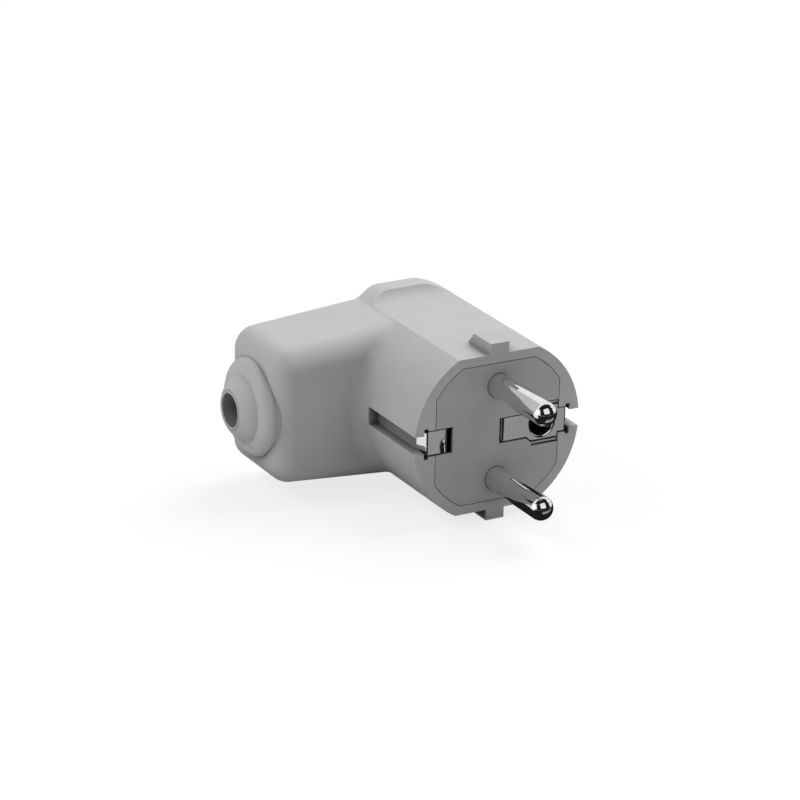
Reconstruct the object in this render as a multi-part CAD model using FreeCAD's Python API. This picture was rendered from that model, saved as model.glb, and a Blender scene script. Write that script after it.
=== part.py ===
import FreeCAD, Part
import math
import os

V = FreeCAD.Vector

# Angled earthed mains plug, in millimetres.
# The engagement face is the plane Y = 0 and the origin lies on it, midway between the pins.
# The pins point to -Y, one above the other. The cable arm points to -X. Z is up.

# Contact pins
PIN_DIAMETER = 4.8
PIN_LENGTH = 19.0
PIN_SPACING = 19.0
PIN_NECK_RADIUS = 2.1
PIN_NECK_LENGTH = 1.0
PIN_SHOULDER_RADIUS = 3.0

# Terminal blocks behind the pins and on the earth bracket
BLOCK_WIDTH = 6.4
BLOCK_LENGTH = 10.0
WINDOW_START = 2.0
WINDOW_LENGTH = 4.0
WINDOW_WIDTH = 3.2
LEAF_THICKNESS = 0.5
M3_RADIUS = 1.5
TERMINAL_HEAD_RADIUS = 2.2
TERMINAL_HEAD_HEIGHT = 1.6
TERMINAL_HEAD_LIFT = 0.8
SCREW_SLOT_WIDTH = 0.6
SCREW_SLOT_DEPTH = 0.7

# How far pieces of one body reach into each other, and how far cuts run past them
OVERLAP = 0.5
PAST = 1.0

# Named clearances
PIN_FIT = 0.05
THREAD_FIT = 0.05
BLOCK_FIT = 0.1
LEAF_FIT = 0.1
SEAM = 0.12
STRIP_FIT = 0.1
WINDOW_FIT = 0.28
SOFT_FIT = 0.05
INSIDE_GAP = 0.2
SCREW_HOLE_FIT = 0.2

# Carrier face and the rim of the housing round it
CARRIER_THICKNESS = 4.5
CARRIER_LEDGE = 1.13
CARRIER_ROUND_RISE = 2.02
RIM_WIDTH = 2.05
FLAT_WALL = 1.8
SIDE_RIM = 2.43
POCKET_WALL = 1.2
HOOK_REACH = 0.6
HOOK_LENGTH = 0.6

# Head, rear wall and side grooves
HOUSING_DEPTH = 41.9
REAR_WALL = 2.4
HEAD_REAR_ROUND = 1.6
RIDGE_THICKNESS = 5.4
RIDGE_RISE = 1.75
RIDGE_SIDE_ROUND = 6.0
RIDGE_COVE = 5.0
GROOVE_DEPTH = 2.1
GROOVE_WIDTH = 3.6
GROOVE_LENGTH = 18.05

# Guide ribs on the two flats
RIB_WIDTH = 3.96
RIB_HEIGHT = 2.19
RIB_TOP_LENGTH = 6.5
RIB_BASE_LENGTH = 8.4

# Cable arm
ARM_LENGTH = 17.9
ARM_DEPTH = 20.8
ARM_END_HALF_HEIGHT = 13.4
ARM_ROOT_DROP = 0.3
ARM_ROOT_X = -10.0
ARM_WALL = 2.2
ARM_FRONT_WALL = 2.4
ARM_ROUND = 4.4
ARM_REAR_ROUND = 3.0
REAR_CHANGE_X = 6.5
CABLE_INSET = 9.8
ARM_BLEND = 3.0

# Cable boot
CORD_HOLE_RADIUS = 3.38
BOOT_LIP = 0.5
BOOT_COLLAR_RADIUS = 9.8
BOSS_EDGE_STEP = 0.03
BOOT_NOSE_RADIUS = 6.8
BOOT_COLLAR_LENGTH = 2.24
BOOT_NOSE_LENGTH = 2.68
BOOT_NOSE_BULGE = 0.2
BOOT_STEPS = 4
BOOT_NECK_RADIUS = 5.2
BOOT_FLANGE_RADIUS = 6.6
BOOT_FLANGE_THICKNESS = 1.6

# Folded earth bracket
STRIP_THICKNESS = 0.8
STRIP_WIDTH = 4.7
STRIP_RECESS = 0.25
STRIP_BEND = 0.15
SIDE_BEND_RADIUS = 0.5
SIDE_LEG_LENGTH = 3.0
SIDE_LEG_LEAN = 0.65
SIDE_SLOT_WIDTH = 6.2
LEFT_PLATE_LENGTH = 5.5
LEFT_WINDOW_GAP = 0.75
RIGHT_PLATE_START = 1.0
RIGHT_WINDOW_GAP = 0.55
EARTH_HOLE_RADIUS = 2.6
EARTH_HOLE_ROUND = 0.45
PAD_LEAD = 2.3
PAD_WIDTH = 6.7
PAD_SLOPE = 1.1
PAD_WINDOW_WIDTH = 8.7
PAD_BAR_WIDTH = 0.4
PAD_BAR_RECESS = 0.35
PAD_BAR_GAP = 0.3
SLEEVE_WALL = 0.5
SLEEVE_END_GAP = 2.45
SLEEVE_SLIT_WIDTH = 0.6
SLEEVE_SLIT_LENGTH = 11.0
SPRING_RING_WALL = 0.3
SPRING_RING_LENGTH = 2.4
SPRING_RING_GAP = 2.0
EARTH_TERMINAL_X = -4.7
STUB_RADIUS = 1.4

# Cord clamp on two posts of the carrier
CLAMP_X = -8.1
CLAMP_WIDTH = 4.4
CLAMP_SCREW_Z = 8.0
CLAMP_POST_INNER = 5.4
CLAMP_POST_OUTER = 10.6
CLAMP_FACE_DROP = 1.7
SADDLE_THICKNESS = 4.3
CLAMP_EAR_THICKNESS = 2.5
CLAMP_ARCH_WALL = 1.8
CLAMP_HEAD_RADIUS = 2.5
CLAMP_HEAD_HEIGHT = 1.8
CLAMP_SCREW_LENGTH = 8.0
INSERT_WALL = 0.6
INSERT_LENGTH = 6.0

# Screw that draws the carrier into the housing from behind
TOWER_X = 4.35
TOWER_STEM_WIDTH = 4.1
TOWER_STEM_HEIGHT = 8.0
TOWER_HEAD_WIDTH = 7.5
TOWER_HEAD_HEIGHT = 8.4
TOWER_GAP = 0.2
TOWER_END_DROP = 0.4
NUT_ACROSS_FLATS = 5.5
NUT_THICKNESS = 2.4
NUT_SEAT_WALL = 2.0
SCREW_PAST_NUT = 1.6
BOSS_WALL = 1.9
COUNTERBORE_RADIUS = 3.2
COUNTERBORE_DEPTH = 3.0
HOUSING_HEAD_RADIUS = 2.9
HOUSING_HEAD_HEIGHT = 2.0
HOUSING_SCREW_LENGTH = 18.0

# Worked out from the sizes above
PIN_Z = PIN_SPACING / 2
PIN_RADIUS = PIN_DIAMETER / 2
CAVITY_HALF_HEIGHT = PIN_Z + BLOCK_WIDTH / 2 + INSIDE_GAP
CARRIER_HALF_HEIGHT = CAVITY_HALF_HEIGHT + CARRIER_LEDGE
CARRIER_RADIUS = CARRIER_HALF_HEIGHT + CARRIER_ROUND_RISE
HEAD_RADIUS = CARRIER_RADIUS + RIM_WIDTH
FLAT_HALF_HEIGHT = CARRIER_HALF_HEIGHT + FLAT_WALL
GROOVE_FLOOR_X = HEAD_RADIUS - GROOVE_DEPTH
CARRIER_HALF_WIDTH = GROOVE_FLOOR_X - SIDE_RIM
CAVITY_RADIUS = CARRIER_RADIUS - CARRIER_LEDGE
CAVITY_END_Y = HOUSING_DEPTH - REAR_WALL
ARM_END_X = -(HEAD_RADIUS + ARM_LENGTH)
ARM_FRONT_Y = HOUSING_DEPTH - ARM_DEPTH
ARM_ROOT_HALF_HEIGHT = FLAT_HALF_HEIGHT - ARM_ROOT_DROP
CABLE_Y = HOUSING_DEPTH - CABLE_INSET
STRIP_BACK_Y = STRIP_RECESS + STRIP_THICKNESS
STRAP_BACK_Y = CARRIER_THICKNESS + STRIP_THICKNESS
SLEEVE_RADIUS = EARTH_HOLE_RADIUS + SLEEVE_WALL
SPRING_RING_RADIUS = SLEEVE_RADIUS + PIN_FIT + SPRING_RING_WALL
EARTH_HOLE_X = CARRIER_HALF_WIDTH - SEAM - SPRING_RING_RADIUS
PAD_START = EARTH_HOLE_X - PAD_LEAD
PAD_END = CARRIER_HALF_WIDTH - SEAM
CLAMP_FACE_Y = CABLE_Y - CLAMP_FACE_DROP
TOWER_END_Y = CLAMP_FACE_Y - TOWER_END_DROP
INSERT_RADIUS = M3_RADIUS + INSERT_WALL
HOUSING_SEAT_Y = HOUSING_DEPTH - COUNTERBORE_DEPTH
BOSS_RADIUS = M3_RADIUS + BOSS_WALL
NUT_START_Y = HOUSING_SEAT_Y - HOUSING_SCREW_LENGTH + SCREW_PAST_NUT
SLEEVE_END_Y = NUT_START_Y - NUT_SEAT_WALL - SLEEVE_END_GAP


# Plain shapes that the pieces are made from

def block(x0, x1, y0, y1, z0, z1):
    return Part.makeBox(x1 - x0, y1 - y0, z1 - z0, V(x0, y0, z0))


def rod(x, z, y0, y1, radius):
    return Part.makeCylinder(radius, y1 - y0, V(x, y0, z), V(0, 1, 0))


def cable_rod(x0, x1, radius):
    return Part.makeCylinder(radius, x1 - x0, V(x0, CABLE_Y, 0), V(1, 0, 0))


def prism_along_y(points, y0, y1):
    corners = [V(x, y0, z) for x, z in points]
    face = Part.Face(Part.makePolygon(corners + corners[:1]))
    return face.extrude(V(0, y1 - y0, 0))


def prism_along_z(points, z0, z1):
    corners = [V(x, y, z0) for x, y in points]
    face = Part.Face(Part.makePolygon(corners + corners[:1]))
    return face.extrude(V(0, 0, z1 - z0))


def trimmed_disc(radius, half_width, half_height, y0, y1):
    disc = rod(0, 0, y0, y1, radius)
    return disc.common(block(-half_width, half_width, y0, y1, -half_height, half_height))


def joined(shapes):
    result = shapes[0]
    for shape in shapes[1:]:
        result = result.fuse(shape)
    return result.removeSplitter()


def without(shape, cutters):
    for cutter in cutters:
        shape = shape.cut(cutter)
    return shape


def rounded(shape, radius, wanted):
    edges = [edge for edge in shape.Edges if wanted(edge)]
    return shape.makeFillet(radius, edges)


def mirrored_in_x(shape):
    return shape.mirror(V(0, 0, 0), V(1, 0, 0))


def mirrored_in_z(shape):
    return shape.mirror(V(0, 0, 0), V(0, 0, 1))


def runs_along(edge, axis):
    box = edge.BoundBox
    spans = {"x": box.XLength, "y": box.YLength, "z": box.ZLength}
    along = spans.pop(axis)
    return along > 0.01 and max(spans.values()) < 0.01


def near(value, target):
    return abs(value - target) < 0.01


# Housing: one moulded shell with the head, the arm, the ribs and the grooves

def arm_half_height(x):
    slope = (ARM_ROOT_HALF_HEIGHT - ARM_END_HALF_HEIGHT) / (ARM_ROOT_X - ARM_END_X)
    return ARM_END_HALF_HEIGHT + slope * (x - ARM_END_X)


def arm_prism(x0, x1, y0, y1, wall):
    low = arm_half_height(x0) - wall
    high = arm_half_height(x1) - wall
    return prism_along_y([(x0, -low), (x0, low), (x1, high), (x1, -high)], y0, y1)


def arm_outside():
    body = arm_prism(ARM_END_X, 0, ARM_FRONT_Y, HOUSING_DEPTH, 0)

    def outer_edge(edge):
        box = edge.BoundBox
        on_front = box.YMax < ARM_FRONT_Y + 0.01 and box.XMin < -1
        at_end = near(box.XMin, ARM_END_X) and near(box.XMax, ARM_END_X)
        return on_front or (at_end and runs_along(edge, "y"))

    return rounded(body, ARM_ROUND, outer_edge)


def head_outside():
    half_height = FLAT_HALF_HEIGHT + RIDGE_RISE
    body = trimmed_disc(HEAD_RADIUS, HEAD_RADIUS, half_height, 0, HOUSING_DEPTH)
    return rounded(body, RIDGE_SIDE_ROUND, lambda edge: runs_along(edge, "y"))


def head_and_arm():
    body = joined([head_outside(), arm_outside()])

    def meets_head(edge):
        middle = edge.valueAt((edge.FirstParameter + edge.LastParameter) / 2)
        on_head = near(math.hypot(middle.x, middle.z), HEAD_RADIUS)
        box = edge.BoundBox
        past_front = box.YMin > 1 and box.YMin < HOUSING_DEPTH - 0.01
        return on_head and past_front and box.XMax < ARM_ROOT_X + 2

    return rear_rounded(rounded(body, ARM_BLEND, meets_head))


def rear_radius(point):
    return ARM_REAR_ROUND if point.x < -REAR_CHANGE_X else HEAD_REAR_ROUND


def rear_rounded(body):
    document = FreeCAD.newDocument("housing")
    base = document.addObject("Part::Feature", "outside")
    base.Shape = body.Solids[0]
    sizes = []
    for number, edge in enumerate(base.Shape.Edges, 1):
        box = edge.BoundBox
        if near(box.YMin, HOUSING_DEPTH) and near(box.YMax, HOUSING_DEPTH):
            start = rear_radius(edge.valueAt(edge.FirstParameter))
            end = rear_radius(edge.valueAt(edge.LastParameter))
            sizes.append((number, start, end))
    rounding = document.addObject("Part::Fillet", "rear_rounding")
    rounding.Base = base
    rounding.Edges = sizes
    document.recompute()
    shape = rounding.Shape.copy()
    FreeCAD.closeDocument(document.Name)
    return shape


def flat_cutter():
    ridge_y = HOUSING_DEPTH - RIDGE_THICKNESS
    x = -HEAD_RADIUS
    crest_angle = math.acos(1 - RIDGE_RISE / RIDGE_COVE)
    centre_y = ridge_y - RIDGE_COVE * math.sin(crest_angle)

    def on_cove(angle):
        rise = RIDGE_COVE * (1 - math.cos(angle))
        return V(x, centre_y + RIDGE_COVE * math.sin(angle), FLAT_HALF_HEIGHT + rise)

    last_angle = math.acos(1 - (RIDGE_RISE + OVERLAP) / RIDGE_COVE)
    start = on_cove(0)
    end = on_cove(last_angle)
    cove = Part.Arc(start, on_cove(last_angle / 2), end)
    top_z = HEAD_RADIUS + PAST
    sides = Part.makePolygon([end, V(x, end.y, top_z), V(x, -PAST, top_z),
                              V(x, -PAST, FLAT_HALF_HEIGHT), start])
    face = Part.Face(Part.Wire([cove.toShape()] + sides.Edges))
    return face.extrude(V(2 * HEAD_RADIUS, 0, 0))


def rib():
    base = FLAT_HALF_HEIGHT - OVERLAP
    top = FLAT_HALF_HEIGHT + RIB_HEIGHT
    half = RIB_WIDTH / 2
    side = [V(-half, 0, base), V(-half, 0, top), V(-half, RIB_TOP_LENGTH, top),
            V(-half, RIB_BASE_LENGTH, FLAT_HALF_HEIGHT), V(-half, RIB_BASE_LENGTH, base)]
    face = Part.Face(Part.makePolygon(side + side[:1]))
    return face.extrude(V(RIB_WIDTH, 0, 0))


def side_cuts():
    half_groove = GROOVE_WIDTH / 2
    half_slot = SIDE_SLOT_WIDTH / 2
    half_strip = STRIP_WIDTH / 2 + WINDOW_FIT
    slot_x = GROOVE_FLOOR_X - STRIP_THICKNESS - STRIP_FIT
    leg_x = slot_x - SIDE_LEG_LEAN
    leg_end = SIDE_LEG_LENGTH + STRIP_FIT
    groove = block(GROOVE_FLOOR_X, HEAD_RADIUS + PAST, -PAST, GROOVE_LENGTH, -half_groove, half_groove)
    slot = block(slot_x, GROOVE_FLOOR_X, -PAST, leg_end, -half_slot, half_slot)
    leg_room = block(leg_x, slot_x, -PAST, leg_end, -half_strip, half_strip)
    seat = block(CARRIER_HALF_WIDTH - OVERLAP, leg_x, -PAST, STRIP_BACK_Y + STRIP_FIT,
                 -half_strip, half_strip)
    return [groove, slot, leg_room, seat]


def housing():
    cutter = flat_cutter()
    body = without(head_and_arm(), [cutter, mirrored_in_z(cutter)])
    boot_seat = cable_rod(ARM_END_X, ARM_END_X + ARM_ROUND, BOOT_COLLAR_RADIUS - BOSS_EDGE_STEP)
    body = joined([body, rib(), mirrored_in_z(rib()), boot_seat])
    recess = trimmed_disc(CARRIER_RADIUS, CARRIER_HALF_WIDTH, CARRIER_HALF_HEIGHT,
                          -PAST, CARRIER_THICKNESS)
    cavity = trimmed_disc(CAVITY_RADIUS, CARRIER_HALF_WIDTH, CAVITY_HALF_HEIGHT, 0, CAVITY_END_Y)
    arm_cavity = arm_prism(ARM_END_X + ARM_WALL, 0, ARM_FRONT_Y + ARM_FRONT_WALL,
                           CAVITY_END_Y, ARM_WALL)
    body = without(body, [recess, joined([cavity, arm_cavity])])
    boss = rod(TOWER_X, 0, TOWER_END_Y + TOWER_GAP, CAVITY_END_Y + OVERLAP, BOSS_RADIUS)
    body = joined([body, boss])
    screw_hole = rod(TOWER_X, 0, TOWER_END_Y - PAST, HOUSING_DEPTH, M3_RADIUS + SCREW_HOLE_FIT)
    counterbore = rod(TOWER_X, 0, HOUSING_SEAT_Y, HOUSING_DEPTH + PAST, COUNTERBORE_RADIUS)
    boot_hole = cable_rod(ARM_END_X - PAST, ARM_END_X + ARM_WALL + OVERLAP, BOOT_NECK_RADIUS + SOFT_FIT)
    cuts = side_cuts()
    cuts = cuts + [mirrored_in_x(cut) for cut in cuts]
    return without(body, cuts + [screw_hole, counterbore, boot_hole])


# Cable boot: turned about the cable's axis

def boot_profile():
    lip_radius = CORD_HOLE_RADIUS + BOOT_LIP
    nose_x = ARM_END_X - BOOT_COLLAR_LENGTH
    collar_drop = BOOT_COLLAR_RADIUS - BOOT_NOSE_RADIUS
    nose_drop = BOOT_NOSE_RADIUS - lip_radius
    points = []
    for step in range(BOOT_STEPS + 1):
        angle = math.pi / 2 * step / BOOT_STEPS
        points.append((ARM_END_X - BOOT_COLLAR_LENGTH * math.sin(angle),
                       BOOT_NOSE_RADIUS + collar_drop * math.cos(angle)))
    for step in range(1, BOOT_STEPS + 1):
        share = step / BOOT_STEPS
        bulge = 4 * BOOT_NOSE_BULGE * share * (1 - share)
        points.append((nose_x - BOOT_NOSE_LENGTH * share - bulge,
                       BOOT_NOSE_RADIUS - nose_drop * share + bulge))
    return points


def cable_boot():
    tip_x = ARM_END_X - BOOT_COLLAR_LENGTH - BOOT_NOSE_LENGTH
    inner_x = ARM_END_X + ARM_WALL
    flange_x = inner_x + BOOT_FLANGE_THICKNESS
    inside = [(tip_x, CORD_HOLE_RADIUS), (flange_x, CORD_HOLE_RADIUS),
              (flange_x, BOOT_FLANGE_RADIUS), (inner_x, BOOT_FLANGE_RADIUS),
              (inner_x, BOOT_NECK_RADIUS), (ARM_END_X, BOOT_NECK_RADIUS)]
    corners = [V(x, CABLE_Y, radius) for x, radius in boot_profile() + inside]
    section = Part.Face(Part.makePolygon(corners + corners[:1]))
    return section.revolve(V(0, CABLE_Y, 0), V(1, 0, 0), 360)


# Contact carrier: the insulating insert that fills the face

def carrier_windows():
    half_strip = STRIP_WIDTH / 2 + WINDOW_FIT
    half_pad = PAD_WINDOW_WIDTH / 2
    back = CARRIER_THICKNESS + 1
    left_end = -(GROOVE_FLOOR_X - LEFT_PLATE_LENGTH) + LEFT_WINDOW_GAP
    right_start = RIGHT_PLATE_START - RIGHT_WINDOW_GAP
    left = block(-CARRIER_RADIUS, left_end, -PAST, back, -half_strip, half_strip)
    pad_x = PAD_START - STRIP_FIT
    foot_x = pad_x - PAD_SLOPE
    half_pad_fit = PAD_WIDTH / 2 + WINDOW_FIT
    slope = [(foot_x, -half_strip), (pad_x, -half_pad_fit), (pad_x, half_pad_fit), (foot_x, half_strip)]
    narrow = block(right_start, CARRIER_RADIUS, -PAST, back, -half_strip, half_strip)
    tapered = prism_along_y(slope, -PAST, STRIP_BACK_Y + STRIP_FIT)
    wide = block(pad_x, CARRIER_RADIUS, -PAST, back, -half_pad, half_pad)
    return [left, narrow, tapered, wide]


def pad_bar():
    outer = PAD_WINDOW_WIDTH / 2 - PAD_BAR_GAP
    return block(PAD_START - OVERLAP, CARRIER_HALF_WIDTH - SEAM, PAD_BAR_RECESS, CARRIER_THICKNESS,
                 outer - PAD_BAR_WIDTH, outer)


def block_pocket():
    inner = BLOCK_WIDTH / 2 + BLOCK_FIT
    outer = inner + POCKET_WALL
    top = PIN_Z + BLOCK_WIDTH / 2
    end = CARRIER_THICKNESS + BLOCK_LENGTH + BLOCK_FIT + HOOK_LENGTH
    walls = block(-outer, outer, CARRIER_THICKNESS - OVERLAP, end, PIN_Z - outer, top)
    room = block(-inner, inner, CARRIER_THICKNESS, end - HOOK_LENGTH, PIN_Z - inner, top + PAST)
    hook_gap = inner - HOOK_REACH
    throat = block(-hook_gap, hook_gap, CARRIER_THICKNESS, end + PAST, PIN_Z - inner, top + PAST)
    window_y = CARRIER_THICKNESS + WINDOW_START
    half_window = WINDOW_WIDTH / 2 + BLOCK_FIT
    notch_end = window_y + WINDOW_LENGTH + BLOCK_FIT
    notch = block(-outer - PAST, outer + PAST, window_y - BLOCK_FIT, notch_end,
                  PIN_Z - half_window, top + PAST)
    return without(walls, [room, throat, notch])


def clamp_post():
    x0 = CLAMP_X - CLAMP_WIDTH / 2
    return block(x0, x0 + CLAMP_WIDTH, CARRIER_THICKNESS - OVERLAP, CLAMP_FACE_Y,
                 CLAMP_POST_INNER, CLAMP_POST_OUTER)


def cord_saddle():
    x0 = CLAMP_X - CLAMP_WIDTH / 2
    return block(x0, x0 + CLAMP_WIDTH, CLAMP_FACE_Y - SADDLE_THICKNESS, CLAMP_FACE_Y,
                 -CLAMP_POST_OUTER, CLAMP_POST_OUTER)


def centred_block(x, width, y0, y1, height):
    return block(x - width / 2, x + width / 2, y0, y1, -height / 2, height / 2)


def screw_tower():
    stem = centred_block(TOWER_X, TOWER_STEM_WIDTH, CARRIER_THICKNESS - OVERLAP, TOWER_END_Y,
                         TOWER_STEM_HEIGHT)
    top = centred_block(TOWER_X, TOWER_HEAD_WIDTH, NUT_START_Y - NUT_SEAT_WALL, TOWER_END_Y,
                        TOWER_HEAD_HEIGHT)
    half_nut = NUT_ACROSS_FLATS / 2 + STRIP_FIT
    nut_y = NUT_START_Y - STRIP_FIT
    nut_end = NUT_START_Y + NUT_THICKNESS + STRIP_FIT
    pocket = block(TOWER_X - half_nut, TOWER_X + half_nut, nut_y, nut_end,
                   -nut_corner_radius() - STRIP_FIT, TOWER_HEAD_HEIGHT)
    screw_end = HOUSING_SEAT_Y - HOUSING_SCREW_LENGTH - STRIP_FIT
    hole = rod(TOWER_X, 0, screw_end, TOWER_END_Y + PAST, M3_RADIUS + SCREW_HOLE_FIT)
    return without(joined([stem, top]), [pocket, hole])


def contact_carrier():
    plate = trimmed_disc(CARRIER_RADIUS - SEAM, CARRIER_HALF_WIDTH - SEAM, CARRIER_HALF_HEIGHT - SEAM,
                         0, CARRIER_THICKNESS)
    plate = without(plate, carrier_windows())
    upper = [pad_bar(), block_pocket(), clamp_post()]
    lower = [mirrored_in_z(shape) for shape in upper]
    body = joined([plate] + upper + lower + [cord_saddle(), screw_tower()])
    pin_hole = rod(0, PIN_Z, -PAST, CARRIER_THICKNESS, PIN_RADIUS + PIN_FIT)
    shoulder_room = rod(0, PIN_Z, PIN_NECK_LENGTH, CARRIER_THICKNESS + OVERLAP,
                        PIN_SHOULDER_RADIUS + PIN_FIT)
    cord_bore = cable_rod(CLAMP_X - CLAMP_WIDTH, CLAMP_X + CLAMP_WIDTH, CORD_HOLE_RADIUS)
    insert_hole = rod(CLAMP_X, CLAMP_SCREW_Z, CLAMP_FACE_Y - INSERT_LENGTH, CLAMP_FACE_Y + PAST,
                      INSERT_RADIUS)
    screw_end = CLAMP_FACE_Y + CLAMP_EAR_THICKNESS - CLAMP_SCREW_LENGTH
    tip_room = rod(CLAMP_X, CLAMP_SCREW_Z, screw_end - STRIP_FIT, CLAMP_FACE_Y,
                   M3_RADIUS + THREAD_FIT)
    paired = [pin_hole, shoulder_room, insert_hole, tip_room]
    return without(body, paired + [mirrored_in_z(hole) for hole in paired] + [cord_bore])


# Pins, terminal blocks, leaves and screws

def terminal_block(x, z, y0):
    half = BLOCK_WIDTH / 2
    half_window = WINDOW_WIDTH / 2
    window_y = y0 + WINDOW_START
    body = block(x - half, x + half, y0, y0 + BLOCK_LENGTH, z - half, z + half)
    window = block(x - half - PAST, x + half + PAST, window_y, window_y + WINDOW_LENGTH,
                   z - half_window, z + half_window)
    thread = rod(x, z, window_y, y0 + BLOCK_LENGTH + PAST, M3_RADIUS + THREAD_FIT)
    return without(body, [window, thread])


def contact_pin(z):
    dome_y = PIN_RADIUS - PIN_LENGTH
    on_dome = PIN_RADIUS / math.sqrt(2)
    dome = Part.Arc(V(0, -PIN_LENGTH, z), V(on_dome, dome_y - on_dome, z), V(PIN_RADIUS, dome_y, z))
    profile = [(PIN_RADIUS, dome_y), (PIN_RADIUS, 0), (PIN_NECK_RADIUS, 0),
               (PIN_NECK_RADIUS, PIN_NECK_LENGTH), (PIN_SHOULDER_RADIUS, PIN_NECK_LENGTH),
               (PIN_SHOULDER_RADIUS, CARRIER_THICKNESS), (0, CARRIER_THICKNESS), (0, -PIN_LENGTH)]
    sides = Part.makePolygon([V(radius, y, z) for radius, y in profile])
    section = Part.Face(Part.Wire([dome.toShape()] + sides.Edges))
    shank = section.revolve(V(0, 0, z), V(0, 1, 0), 360)
    return joined([shank, terminal_block(0, z, CARRIER_THICKNESS)])


def leaf_back_y(y0):
    return y0 + WINDOW_START + WINDOW_LENGTH - LEAF_FIT


def wire_leaf(x, z, y0):
    half = BLOCK_WIDTH / 2
    half_leaf = WINDOW_WIDTH / 2 - LEAF_FIT
    back = leaf_back_y(y0)
    return block(x - half, x + half, back - LEAF_THICKNESS, back, z - half_leaf, z + half_leaf)


def slotted_screw(x, z, tip_y, seat_y, head_radius, head_height):
    shank = rod(x, z, tip_y, seat_y, M3_RADIUS)
    head = rod(x, z, seat_y, seat_y + head_height, head_radius)
    half_slot = SCREW_SLOT_WIDTH / 2
    slot = block(x - head_radius, x + head_radius, seat_y + head_height - SCREW_SLOT_DEPTH,
                 seat_y + head_height + PAST, z - half_slot, z + half_slot)
    return joined([shank, head]).cut(slot)


def terminal_screw(x, z, y0):
    seat = y0 + BLOCK_LENGTH + TERMINAL_HEAD_LIFT
    return slotted_screw(x, z, leaf_back_y(y0), seat, TERMINAL_HEAD_RADIUS, TERMINAL_HEAD_HEIGHT)


# Earth contacts: one strip folded back and forth through the carrier

def strip_meander():
    left_end = -(GROOVE_FLOOR_X - LEFT_PLATE_LENGTH)
    leg = GROOVE_FLOOR_X
    bend = GROOVE_FLOOR_X - SIDE_LEG_LEAN
    t = STRIP_THICKNESS
    front = STRIP_RECESS
    back = STRIP_BACK_Y
    strap = CARRIER_THICKNESS
    half = STRIP_WIDTH / 2
    at_sides = [(-bend, front), (bend, front)]
    outside = [(left_end, front), (RIGHT_PLATE_START, front), (RIGHT_PLATE_START + t, STRAP_BACK_Y),
               (left_end - t, STRAP_BACK_Y)]
    points = [(-leg, SIDE_LEG_LENGTH), (-bend, front), (left_end, front), (left_end, strap),
              (RIGHT_PLATE_START, strap), (RIGHT_PLATE_START, front), (bend, front),
              (leg, SIDE_LEG_LENGTH), (leg - t, SIDE_LEG_LENGTH), (bend - t, back),
              (RIGHT_PLATE_START + t, back), (RIGHT_PLATE_START + t, STRAP_BACK_Y),
              (left_end - t, STRAP_BACK_Y), (left_end - t, back), (t - bend, back),
              (t - leg, SIDE_LEG_LENGTH)]
    strip = prism_along_z(points, -half, half)

    def at_corner(edge, corners):
        box = edge.BoundBox
        hits = [near(box.XMin, x) and near(box.YMin, y) for x, y in corners]
        return runs_along(edge, "z") and any(hits)

    strip = rounded(strip, STRIP_BEND + t, lambda edge: at_corner(edge, outside))
    strip = rounded(strip, SIDE_BEND_RADIUS, lambda edge: at_corner(edge, at_sides))
    inside = [(left_end, strap), (RIGHT_PLATE_START, strap), (bend - t, back),
              (RIGHT_PLATE_START + t, back), (left_end - t, back), (t - bend, back)]
    return rounded(strip, STRIP_BEND, lambda edge: at_corner(edge, inside))


def earth_bracket():
    half_strip = STRIP_WIDTH / 2
    half_pad = PAD_WIDTH / 2
    foot = PAD_START - PAD_SLOPE
    pad_points = [(foot, -half_strip), (PAD_START, -half_pad), (PAD_END, -half_pad),
                  (PAD_END, half_pad), (PAD_START, half_pad), (foot, half_strip)]
    pad = prism_along_y(pad_points, STRIP_RECESS, STRIP_BACK_Y)
    body = joined([strip_meander(), pad])
    hole = rod(EARTH_HOLE_X, 0, -PAST, STRIP_BACK_Y + PAST, EARTH_HOLE_RADIUS)
    stub_hole = rod(EARTH_TERMINAL_X, 0, CARRIER_THICKNESS - OVERLAP, STRAP_BACK_Y + OVERLAP,
                    STUB_RADIUS + PIN_FIT)
    body = without(body, [hole, stub_hole])

    def hole_mouth(edge):
        box = edge.BoundBox
        in_front = near(box.YMin, STRIP_RECESS) and near(box.YMax, STRIP_RECESS)
        return in_front and near(box.XLength, 2 * EARTH_HOLE_RADIUS)

    return rounded(body, EARTH_HOLE_ROUND, hole_mouth)


def tube(x, y0, y1, inner, outer):
    return rod(x, 0, y0, y1, outer).cut(rod(x, 0, y0 - PAST, y1 + PAST, inner))


def earth_pin_sleeve():
    end = SLEEVE_END_Y
    body = tube(EARTH_HOLE_X, STRIP_BACK_Y, end, EARTH_HOLE_RADIUS, SLEEVE_RADIUS)
    slit_y = end - SLEEVE_SLIT_LENGTH
    reach = 2 * SLEEVE_RADIUS + 2
    flat_slit = centred_block(EARTH_HOLE_X, reach, slit_y, end + PAST, SLEEVE_SLIT_WIDTH)
    upright_slit = centred_block(EARTH_HOLE_X, SLEEVE_SLIT_WIDTH, slit_y, end + PAST, reach)
    return without(body, [flat_slit, upright_slit])


def sleeve_spring_ring():
    inner = SLEEVE_RADIUS + PIN_FIT
    end = SLEEVE_END_Y - SPRING_RING_LENGTH
    ring = tube(EARTH_HOLE_X, end - SPRING_RING_LENGTH, end, inner, SPRING_RING_RADIUS)
    start = end - SPRING_RING_LENGTH
    gap = block(EARTH_HOLE_X, EARTH_HOLE_X + SPRING_RING_RADIUS + PAST, start - PAST, end + PAST,
                -SPRING_RING_GAP / 2, SPRING_RING_GAP / 2)
    return ring.cut(gap)


def earth_terminal_block():
    stub = rod(EARTH_TERMINAL_X, 0, CARRIER_THICKNESS, STRAP_BACK_Y, STUB_RADIUS)
    return joined([stub, terminal_block(EARTH_TERMINAL_X, 0, STRAP_BACK_Y)])


# Cord clamp

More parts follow.
